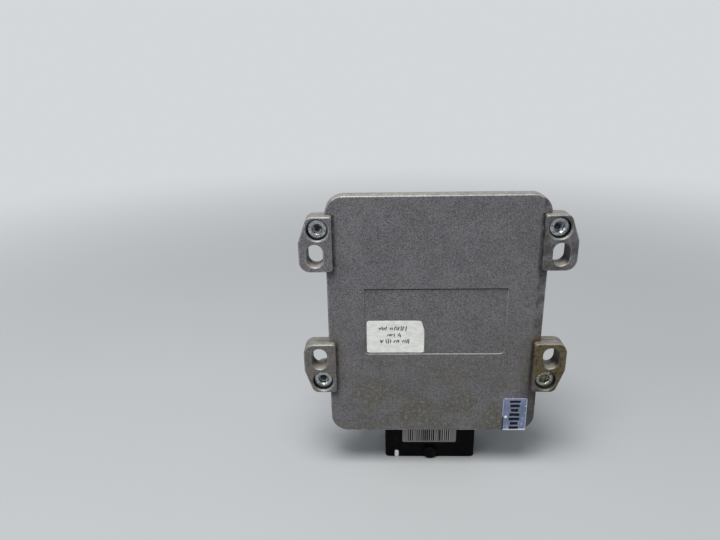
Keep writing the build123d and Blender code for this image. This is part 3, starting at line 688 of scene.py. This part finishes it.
# The bright screws get painted black shade at the bottom of their sockets, the stained one brown rust.
bright_zinc = head_finish("bright_zinc", (0.50, 0.52, 0.55), 0.6, (0.012, 0.012, 0.015))
stained_zinc = head_finish("stained_zinc", (0.36, 0.37, 0.32), 0.8, (0.26, 0.19, 0.08))
seat_y = head_top_y + head_height
left_x = screws_low[0] + screw_radius
upper_z = screws_high[2] - screw_radius
lower_z = screws_low[2] + screw_radius
screw_places = [
    ("upper_left_screw", left_x, upper_z, 10.0, bright_zinc),
    ("upper_right_screw", screw_x, upper_z, 41.0, bright_zinc),
    ("lower_left_screw", left_x, lower_z, 22.0, bright_zinc),
    ("lower_right_screw", screw_x, lower_z, 5.0, stained_zinc),
]
for name, x, z, turn, zinc in screw_places:
    piece = screw.copy()
    piece.data = screw.data.copy()
    piece.name = name
    bpy.context.collection.objects.link(piece)
    piece.matrix_world = (
        Matrix.Translation((x, seat_y, z))
        @ Matrix.Rotation(math.pi / 2, 4, "X")
        @ Matrix.Rotation(math.radians(turn), 4, "Z")
    )
    pick_only(piece)
    bpy.ops.object.transform_apply(location=True, rotation=True, scale=True)
    piece.data.materials.clear()
    piece.data.materials.append(zinc)
    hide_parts("cover_screws")
    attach(piece, "root")
bpy.data.objects.remove(screw)

# Plug housing
# Moulded in black glass-filled nylon, with rounded corners and a round latch boss in front. It
# is fixed by its lugs to the board, and its neck fills the notch in the tub.
nylon_edge = 0.00025
nylon, tree, shader = new_finish("black_nylon", 0.42)
dusty = rise(tree, blotches(tree, 0.004, 6.0), 0.45, 0.8)
two_tone(tree, shader, dusty, (0.0015, 0.0015, 0.0018), (0.006, 0.006, 0.0058))
feed(tree, shader.inputs["Roughness"], rise(tree, dusty, 0.0, 1.0, 0.45, 0.6))
shader.inputs["Specular IOR Level"].default_value = 0.05
relief(tree, shader, blotches(tree, 0.0007, 3.0), 0.00003, 0.5)
plug_housing = softened_cast("connector_header", "moulded_plug_housing", nylon_edge, [nylon])
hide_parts("connector_header")
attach(plug_housing, "root")

# Contact pins
# Three rows of square brass wire, tinned. The pins are pressed through the plug housing's web
# and bent over to the board.
tin, tree, shader = new_finish("tinned_brass", 0.3, 1.0)
dull = rise(tree, blotches(tree, 0.0015, 4.0, stretch=(1.0, 1.0, 3.0)), 0.4, 0.7)
two_tone(tree, shader, dull, (0.66, 0.64, 0.58), (0.44, 0.40, 0.30))
feed(tree, shader.inputs["Roughness"], rise(tree, dull, 0.0, 1.0, 0.22, 0.45))
repaint("connector_pins", tin)

# Circuit board
# Glass laminate under green lacquer. Copper tracks show through it as lighter green lines,
# which run up and down in some areas and across in the others.
lacquer, tree, shader = new_finish("green_lacquer", 0.3)
x, _, z = parts_of(tree, place_on(tree))
upright_zone = rise(tree, blotches(tree, 0.018, 0.0, 0.5, (0.5, 1.0, 1.6)), 0.48, 0.52)
upright_tracks = all_of(tree, rise(tree, wave(tree, x, 0.0024), 0.1, 0.35), upright_zone)
level_zone = rise(tree, upright_zone, 1.0, 0.0)
level_tracks = all_of(tree, rise(tree, wave(tree, z, 0.0021), 0.2, 0.45), level_zone)
copper = reckon(tree, "MAXIMUM", upright_tracks, level_tracks)
two_tone(tree, shader, copper, (0.010, 0.075, 0.030), (0.028, 0.14, 0.055))
relief(tree, shader, copper, 0.00004, 0.6)
repaint("circuit_board", lacquer)

# Board screws and clamp screws
# Steel pan heads with a cross recess hold the board to its posts, and two plain ones pull the
# clamp strip up. All are zinc plated and clean, because the case keeps them dry.
clean_zinc = zinc_finish("clean_zinc", (0.55, 0.57, 0.60), 0.25)
repaint("board_screws", clean_zinc)
repaint("clamp_screws", clean_zinc)

# Chips
# The controller, the memory and the line transceiver: black moulded resin with tinned leads
# along their sides, soldered flat to the back of the board.
lead_reach = 0.0009


def within(tree, node, trim):
    """1 inside a node's box trimmed by a width on x and z, and 0 on what stands out of it."""
    low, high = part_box(node)
    x, _, z = parts_of(tree, place_on(tree))
    inside = []
    for value, axis, edge in ((x, 0, trim[0]), (z, 2, trim[1])):
        half = (high[axis] - low[axis]) / 2 - edge
        offset = apart(tree, value, (low[axis] + high[axis]) / 2)
        inside.append(reckon(tree, "LESS_THAN", offset, half + 0.00002))
    return all_of(tree, *inside)


def new_resin(name):
    """Black moulding resin, not yet with its metal."""
    finish, tree, shader = new_finish(name, 0.5)
    two_tone(tree, shader, blotches(tree, 0.0006, 3.0), (0.014, 0.014, 0.015), (0.03, 0.03, 0.031))
    relief(tree, shader, blotches(tree, 0.0003, 2.0), 0.00002, 0.5)
    return finish, tree, shader


def bare_metal(tree, shader, bare, shade, roughness):
    """Turns the resin into metal where bare is 1."""
    lay_over(tree, shader, bare, shade)
    feed(tree, shader.inputs["Metallic"], bare)
    feed(tree, shader.inputs["Roughness"], rise(tree, bare, 0.0, 1.0, 0.55, roughness))


def resin_part(node, trim):
    """Black resin for a moulded body and tin for the leads or tabs that stand out of it."""
    finish, tree, shader = new_resin(node + "_resin")
    bare = reckon(tree, "SUBTRACT", 1.0, within(tree, node, trim))
    tin_shade = mixed(tree, blotches(tree, 0.0008, 3.0), (0.56, 0.56, 0.54), (0.40, 0.40, 0.38))
    bare_metal(tree, shader, bare, tin_shade, 0.28)
    repaint(node, finish)


resin_part("microcontroller", (lead_reach, lead_reach))
resin_part("memory_chip", (lead_reach, 0.0))
resin_part("line_transceiver", (lead_reach, 0.0))

# Power parts
# The regulator and the surge suppressor lie on the board, and four transistors stand on their
# leads under the clamp. All are black resin, with bare tabs and wrapped ends of tinned metal.
resin_part("voltage_regulator", (0.0, 0.0026))
resin_part("surge_suppressor", (0.0012, 0.0))

tab_thickness = 0.00132
driver_length = 0.0158
drivers_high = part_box("injector_drivers")[1]
driver_resin, tree, shader = new_resin("driver_resin")
_, y, z = parts_of(tree, place_on(tree))
tabs = reckon(tree, "GREATER_THAN", z, drivers_high[2] - tab_thickness)
leads = reckon(tree, "LESS_THAN", y, drivers_high[1] - driver_length)
tab_shade = mixed(tree, blotches(tree, 0.001, 4.0), (0.58, 0.57, 0.55), (0.42, 0.41, 0.39))
bare_metal(tree, shader, reckon(tree, "MAXIMUM", tabs, leads), tab_shade, 0.3)
repaint("injector_drivers", driver_resin)

# Clamp strip and thermal pad
# A strip of rolled spring steel presses the transistors up against the tub, and a filled
# silicone pad between them carries the heat. The steel is brushed along its length.
spring_steel, tree, shader = new_finish("spring_steel", 0.35, 1.0)
brushed = blotches(tree, 0.0004, 4.0, 0.6, (12.0, 1.0, 1.0))
two_tone(tree, shader, brushed, (0.36, 0.36, 0.35), (0.56, 0.56, 0.55))
relief(tree, shader, brushed, 0.00002, 0.5)
repaint("clamp_bar", spring_steel)

pad_silicone, tree, shader = new_finish("pad_silicone", 0.75)
woven = blotches(tree, 0.0007, 3.0)
two_tone(tree, shader, woven, (0.24, 0.31, 0.37), (0.34, 0.41, 0.46))
relief(tree, shader, woven, 0.00005, 0.5)
repaint("thermal_pad", pad_silicone)

# Quartz crystal
# A low can of pressed and nickelled steel on its base, with faint draw marks. It is soldered to
# the board beside the controller.
nickel, tree, shader = new_finish("nickel_can", 0.25, 1.0)
drawn = blotches(tree, 0.0005, 4.0, 0.6, (1.0, 6.0, 1.0))
two_tone(tree, shader, drawn, (0.56, 0.55, 0.53), (0.72, 0.71, 0.69))
relief(tree, shader, drawn, 0.00002, 0.4)
repaint("quartz_crystal", nickel)

# Supply choke
# A block of pressed ferrite with a round core, dark grey and slightly porous. It is soldered to
# the board.
ferrite, tree, shader = new_finish("pressed_ferrite", 0.6)
pores = rise(tree, blotches(tree, 0.0005, 3.0), 0.55, 0.7)
two_tone(tree, shader, pores, (0.055, 0.055, 0.056), (0.022, 0.022, 0.022))
relief(tree, shader, pores, 0.00006, 0.6)
repaint("supply_choke", ferrite)

# Storage capacitors
# Three drawn aluminium cans on black feet, with a dark half moon on the top of each for the
# sign of its poles.
foot_height = 0.00122
half_moon_out = 0.0018
cans_low, cans_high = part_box("storage_capacitors")
can_metal, tree, shader = new_finish("drawn_aluminium", 0.32)
x, y, _ = parts_of(tree, place_on(tree))
foot = reckon(tree, "LESS_THAN", y, cans_low[1] + foot_height)
top = reckon(tree, "GREATER_THAN", y, cans_high[1] - 0.00002)
half_moon = reckon(tree, "LESS_THAN", x, (cans_low[0] + cans_high[0]) / 2 - half_moon_out)
dark = reckon(tree, "MAXIMUM", foot, all_of(tree, top, half_moon))
drawn = blotches(tree, 0.0006, 4.0, 0.6, (1.0, 10.0, 1.0))
silver = mixed(tree, drawn, (0.60, 0.60, 0.61), (0.74, 0.74, 0.75))
two_tone(tree, shader, dark, silver, (0.02, 0.02, 0.022))
feed(tree, shader.inputs["Metallic"], reckon(tree, "SUBTRACT", 1.0, dark))
relief(tree, shader, drawn, 0.00002, 0.4)
repaint("storage_capacitors", can_metal)

# Filter capacitors
# Small fired blocks of brown ceramic with silvered ends. They lie in a row and are soldered to
# the board.
silvered_reach = 0.0006
ceramic, tree, shader = new_finish("brown_ceramic", 0.4)
unsilvered = within(tree, "filter_capacitors", (-0.001, silvered_reach))
brown = mixed(tree, blotches(tree, 0.0008, 3.0), (0.24, 0.15, 0.08), (0.33, 0.21, 0.12))
two_tone(tree, shader, unsilvered, (0.62, 0.61, 0.59), brown)
feed(tree, shader.inputs["Metallic"], reckon(tree, "SUBTRACT", 1.0, unsilvered))
relief(tree, shader, blotches(tree, 0.0004, 3.0), 0.00002, 0.5)
repaint("filter_capacitors", ceramic)

# Emulation resistors
# White ceramic troughs filled with cement, rough to the touch and a little yellowed by heat.
# They are soldered to the board and stand in for the petrol injectors.
cement, tree, shader = new_finish("white_cement", 0.85)
scorched = rise(tree, blotches(tree, 0.005, 4.0), 0.45, 0.75)
pores = rise(tree, blotches(tree, 0.0005, 3.0), 0.6, 0.72)
white = mixed(tree, scorched, (0.66, 0.64, 0.58), (0.50, 0.44, 0.33))
two_tone(tree, shader, pores, white, (0.36, 0.34, 0.30))
relief(tree, shader, pores, 0.00008, 0.6)
repaint("emulation_resistors", cement)

# Paper sticker
# A small price label of matt white paper in the lower left of the label field, with one corner
# clipped and a little lifted. Three rows of faint pen strokes cross it.
sticker_low, sticker_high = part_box("paper_sticker")
sticker_left, sticker_right = sticker_low[0], sticker_high[0]
sticker_bottom, sticker_top = sticker_low[2], sticker_high[2]
stuck_gap = 0.00002
paper_thickness = 0.00012
paper_corner = 0.0011
clip_width = 0.0014
clip_height = 0.0048
clip_corner = 0.0009
clipped_lift, clipped_reach = 0.00035, 0.006
lower_lift, lower_reach = 0.0002, 0.005
paper_wave = 0.00002


def upright_sheet(name, left, right, bottom, top, y):
    """A thin sheet that stands upright, facing the front."""
    bpy.ops.mesh.primitive_plane_add(size=1.0)
    sheet = bpy.context.object
    sheet.name = name
    sheet.matrix_world = (
        Matrix.Translation(((left + right) / 2, y, (bottom + top) / 2))
        @ Matrix.Rotation(math.pi / 2, 4, "X")
        @ Matrix.Diagonal((right - left, top - bottom, 1.0, 1.0))
    )
    bpy.ops.object.transform_apply(location=True, rotation=True, scale=True)
    return sheet


def pick_corners(piece, test):
    """Opens a piece in edit mode with just those corner points selected that pass."""
    edit_all(piece, "VERT")
    bpy.ops.mesh.select_all(action="DESELECT")
    bpy.ops.object.mode_set(mode="OBJECT")
    for corner in piece.data.vertices:
        corner.select = test(corner.co)
    bpy.ops.object.mode_set(mode="EDIT")


def round_corners(piece, test, radius, segments):
    """Rounds those corners of a flat piece that pass a test."""
    pick_corners(piece, test)
    bpy.ops.mesh.bevel(offset=radius, segments=segments, affect="VERTICES")


def cut_across(piece, start, step, count, axis):
    """Cuts a flat piece across at even steps along an axis, so that it can be curved."""
    direction = [0.0, 0.0, 0.0]
    direction[axis] = 1.0
    edit_all(piece)
    for number in range(count):
        place = [0.0, 0.0, 0.0]
        place[axis] = start + step * number
        bpy.ops.mesh.select_all(action="SELECT")
        bpy.ops.mesh.bisect(plane_co=place, plane_no=direction)
    bpy.ops.object.mode_set(mode="OBJECT")


def paper_lift(x, z):
    """How far the paper stands off the metal at a point."""
    clipped = Vector((sticker_right - x, sticker_top - z)).length
    lower = Vector((sticker_right - x, z - sticker_bottom)).length
    lift = clipped_lift * max(0.0, 1.0 - clipped / clipped_reach) ** 2
    lift += lower_lift * max(0.0, 1.0 - lower / lower_reach) ** 2
    return lift + paper_wave * (1 + math.sin(x * 900) * math.cos(z * 1100))


def is_square_corner(place):
    """The three corners of the sticker that nobody clipped."""
    return place.x < sticker_left + 0.001 or place.z < sticker_bottom + 0.001


def is_clipped_corner(place):
    """The two blunt corners where the clipped edge ends."""
    along_top = place.z > sticker_top - 0.0001 and place.x > sticker_right - 0.003
    along_side = place.x > sticker_right - 0.0001 and place.z > sticker_top - 0.006
    return along_top or along_side


paper_y = sticker_high[1] - stuck_gap
sticker = upright_sheet("price_sticker", sticker_left, sticker_right, sticker_bottom, sticker_top, paper_y)
edit_all(sticker)
bpy.ops.mesh.bisect(
    plane_co=(sticker_right - clip_width, sticker_high[1], sticker_top),
    plane_no=Vector((clip_height, 0, clip_width)).normalized(),
    clear_outer=True,
)
round_corners(sticker, is_square_corner, paper_corner, 4)
round_corners(sticker, is_clipped_corner, clip_corner, 3)
column_width = (sticker_right - sticker_left) / 26
row_height = (sticker_top - sticker_bottom) / 16
cut_across(sticker, sticker_left + column_width, column_width, 25, 0)
cut_across(sticker, sticker_bottom + row_height, row_height, 15, 2)
for point in sticker.data.vertices:
    point.co.y -= paper_lift(point.co.x, point.co.z)
add_modifier(sticker, "SOLIDIFY", thickness=paper_thickness, offset=1.0)
bpy.ops.object.shade_smooth_by_angle(angle=math.radians(35.0))
paper, tree, shader = new_finish("white_paper", 0.75)
fibres = blotches(tree, 0.0012, 5.0, 0.6, (2.5, 1.0, 1.0))
smudge = rise(tree, blotches(tree, 0.006, 4.0), 0.5, 0.8)
white = mixed(tree, rise(tree, fibres, 0.3, 0.7), (0.62, 0.625, 0.59), (0.76, 0.77, 0.74))
two_tone(tree, shader, smudge, white, (0.60, 0.60, 0.56))
relief(tree, shader, fibres, 0.00003, 0.5)
sticker.data.materials.append(paper)
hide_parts("paper_sticker")
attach(sticker, "root")

ink, tree, shader = new_finish("pen_ink", 0.5)
faded = blotches(tree, 0.001, 3.0)
two_tone(tree, shader, faded, (0.010, 0.011, 0.016), (0.06, 0.06, 0.07))
relief(tree, shader, faded, 0.00001, 0.3)
pen = random.Random(7)
pen_rows = [(0.0056, 0.0186, 0.0122), (0.0096, 0.0154, 0.0089), (0.0063, 0.0193, 0.0058)]
pen_gaps = (0.0007, 0.0009, 0.0012, 0.0019)
stroke_steps = 7
pen_radius = 0.00022
strokes = bpy.data.curves.new("pen_strokes", "CURVE")
strokes.dimensions = "3D"
strokes.bevel_depth = pen_radius
strokes.bevel_resolution = 1
for start, end, height in pen_rows:
    across = start
    while across < end:
        lean = pen.uniform(-0.0005, 0.0010)
        tall = pen.uniform(0.0006, 0.0025)
        bow = pen.uniform(-0.00015, 0.00015)
        stroke = strokes.splines.new("POLY")
        stroke.points.add(stroke_steps)
        for step, point in enumerate(stroke.points):
            along = step / stroke_steps - 0.5
            x = sticker_left + across + lean * along + bow * math.cos(math.pi * along)
            z = sticker_bottom + height + tall * along
            y = paper_y - paper_thickness - paper_lift(x, z)
            point.co = (x, y, z, 1.0)
        across += pen.choice(pen_gaps)
pen_strokes = bpy.data.objects.new("pen_strokes", strokes)
bpy.context.collection.objects.link(pen_strokes)
pick_only(pen_strokes)
bpy.ops.object.convert(target="MESH")
pen_strokes.data.materials.clear()
pen_strokes.data.materials.append(ink)
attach(pen_strokes, "root")

# Bar label
# A label of coated paper on the front wall of the plug housing, printed with plain bars of
# mixed widths over a bare white strip.
bar_step = 0.00104
side_margin = 0.0030
low_margin = 0.0008
label_low, label_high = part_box("barcode_label")
label_print, tree, shader = new_finish("bar_print", 0.5)
x, _, z = parts_of(tree, place_on(tree))
bar_place = reckon(tree, "DIVIDE", x, bar_step)
drawn_bar = tree.nodes.new("ShaderNodeTexWhiteNoise")
drawn_bar.noise_dimensions = "1D"
tree.links.new(reckon(tree, "FLOOR", bar_place), drawn_bar.inputs["W"])
bar_gap = reckon(tree, "MULTIPLY_ADD", drawn_bar.outputs["Value"], 0.42, 0.18)
printed = all_of(
    tree,
    reckon(tree, "GREATER_THAN", x, label_low[0] + side_margin),
    reckon(tree, "LESS_THAN", x, label_high[0] - side_margin),
    reckon(tree, "GREATER_THAN", z, label_low[2] + low_margin),
)
bars = all_of(tree, reckon(tree, "GREATER_THAN", reckon(tree, "FRACT", bar_place), bar_gap), printed)
# The label's whites are painted grey: painted shade from the cover that overhangs it.
shaded_margin_white = mixed(tree, blotches(tree, 0.002, 4.0), (0.175, 0.168, 0.164), (0.24, 0.232, 0.225))
shaded_label_white = mixed(tree, printed, shaded_margin_white, (0.36, 0.35, 0.34))
two_tone(tree, shader, bars, shaded_label_white, (0.006, 0.005, 0.007))
shader.inputs["Specular IOR Level"].default_value = 0.15
relief(tree, shader, blotches(tree, 0.001, 3.0), 0.00002, 0.4)
repaint("barcode_label", label_print)

# Tape strip
# A strip of bluish film stuck down the face and folded under the cover's lower edge. It is
# glossy and a little creased, and its left edge has come loose near the fold.
tape_low, tape_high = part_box("tape_strip")
tape_left, tape_right, tape_top = tape_low[0], tape_high[0], tape_high[2]
tape_width = tape_right - tape_left
film_thickness = 0.00008
film_corner = 0.0009
face_y = tape_low[1] + 0.00015
fold_z = tape_low[2] + 0.00015
fold_radius = 0.0005
bend_back = 0.00045
bend_down = 0.00052
loose_lift, loose_reach = 0.0006, 0.0025
crease_depth = 0.00006
block_pitch = 0.0024
tape = upright_sheet("tape_film", tape_left, tape_right, fold_z + fold_radius, tape_top, face_y - stuck_gap)
round_corners(tape, lambda place: place.z > tape_top - 0.0001, film_corner, 4)
pick_corners(tape, lambda place: place.z < fold_z + 0.0006)
bpy.ops.mesh.extrude_region_move(TRANSFORM_OT_translate={"value": (0, bend_back, -bend_down)})
bpy.ops.mesh.extrude_region_move(TRANSFORM_OT_translate={"value": (0, tape_high[1] - face_y - 0.0006, 0)})
cut_across(tape, tape_left + tape_width / 14, tape_width / 14, 13, 0)
cut_across(tape, fold_z + 0.0007, 0.0008, 20, 2)
for point in tape.data.vertices:
    if point.co.y > face_y + 0.0001:
        continue
    from_left = point.co.x - tape_left
    from_fold = point.co.z - fold_z
    loose = max(0.0, 1.0 - from_left / loose_reach) * max(0.0, 1.0 - abs(from_fold - 0.002) / 0.006)
    crease = crease_depth * (1 + math.sin(point.co.x * 1900 + point.co.z * 700))
    point.co.y -= loose_lift * loose**2 + crease * min(1.0, max(0.0, from_fold - 0.0006) / 0.002)
add_modifier(tape, "SOLIDIFY", thickness=film_thickness, offset=1.0)
bpy.ops.object.shade_smooth_by_angle(angle=math.radians(50.0))

film, tree, shader = new_finish("tape_film", 0.3)
x, _, z = parts_of(tree, place_on(tree))
cloudy = blotches(tree, 0.004, 4.0, 0.55, (1.0, 1.0, 1.6))
two_tone(tree, shader, rise(tree, cloudy, 0.35, 0.7), (0.125, 0.158, 0.24), (0.185, 0.21, 0.32))
off_middle = apart(tree, x, (tape_left + tape_right) / 2)
# Painted highlights along the film's side and top edges, and a painted reflection along the fold.
side_edge = rise(tree, off_middle, tape_width / 2 - 0.0004, tape_width / 2 - 0.0001)
top_edge = rise(tree, z, tape_top - 0.0005, tape_top - 0.0001)
rim_highlight = all_of(tree, reckon(tree, "MAXIMUM", side_edge, top_edge), 0.45)
fold_highlight = rise(tree, z, fold_z + 0.0013, fold_z + 0.0008)
lay_over(tree, shader, reckon(tree, "MAXIMUM", rim_highlight, fold_highlight), (0.74, 0.77, 0.88))
# Painted shade under the loose lower left edge.
at_left = rise(tree, x, tape_left + 0.0007, tape_left + 0.0004)
curl_shade = all_of(tree, at_left, rise(tree, z, fold_z + 0.0085, fold_z + 0.0070))
lay_over(tree, shader, curl_shade, (0.02, 0.022, 0.03))
# Painted glints scattered over the film.
glints = rise(tree, blotches(tree, 0.0016, 2.0), 0.66, 0.72, 0.0, 0.8)
lay_over(tree, shader, glints, (0.75, 0.78, 0.85))
# A painted highlight on a small bubble, which the relief below also raises.
from_bubble = distance_from(tree, (tape_left + 0.0016, face_y, fold_z + 0.0076))
bubble_and_glint = rise(tree, from_bubble, 0.0009, 0.0004)
lay_over(tree, shader, bubble_and_glint, (0.88, 0.90, 0.94))
row_place = reckon(tree, "DIVIDE", reckon(tree, "SUBTRACT", z, fold_z), block_pitch)
block_width = tree.nodes.new("ShaderNodeTexWhiteNoise")
block_width.noise_dimensions = "1D"
tree.links.new(reckon(tree, "FLOOR", row_place), block_width.inputs["W"])
block_half = reckon(tree, "MULTIPLY_ADD", block_width.outputs["Value"], 0.0009, 0.0017)
blocks = all_of(
    tree,
    reckon(tree, "GREATER_THAN", reckon(tree, "FRACT", row_place), 0.36),
    reckon(tree, "LESS_THAN", off_middle, block_half),
    reckon(tree, "LESS_THAN", z, tape_top - 0.0012),
)
lay_over(tree, shader, blocks, (0.003, 0.003, 0.008))
relief(tree, shader, cloudy, 0.0001, 0.4)
relief(tree, shader, bubble_and_glint, 0.0002, 0.6)
shader.inputs["Specular IOR Level"].default_value = 0.2
tape.data.materials.append(film)
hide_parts("tape_strip")
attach(tape, "root")

# Paint mark
# A dab of white paint put by hand on the front wall of the plug housing. It has round corners
# and slightly uneven sides.
mark_place = Matrix.Translation((-0.01670, -0.00905, 0.00190))
mark_size = Matrix.Diagonal((0.0019, 0.0001, 0.0037, 1.0))
mark_corner = 0.0007
mark_wave = 0.00012
bpy.ops.mesh.primitive_cube_add(size=1.0)
paint_mark = bpy.context.object
paint_mark.name = "paint_mark"
paint_mark.matrix_world = mark_place @ mark_size
bpy.ops.object.transform_apply(location=True, rotation=True, scale=True)
edit_all(paint_mark, "EDGE")
bpy.ops.mesh.select_all(action="DESELECT")
bpy.ops.object.mode_set(mode="OBJECT")
for edge in paint_mark.data.edges:
    first, second = (paint_mark.data.vertices[end].co for end in edge.vertices)
    edge.select = abs(first.y - second.y) > 0.00005
bpy.ops.object.mode_set(mode="EDIT")
bpy.ops.mesh.bevel(offset=mark_corner, segments=5, affect="EDGES")
bpy.ops.object.mode_set(mode="OBJECT")
for point in paint_mark.data.vertices:
    point.co.x += mark_wave * math.sin(point.co.z * 2600)
paint, tree, shader = new_finish("marker_paint", 0.5)
thin_paint = blotches(tree, 0.0009, 4.0)
two_tone(tree, shader, thin_paint, (0.55, 0.55, 0.54), (0.78, 0.78, 0.77))
relief(tree, shader, thin_paint, 0.00005, 0.5)
paint_mark.data.materials.append(paint)
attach(paint_mark, "root")
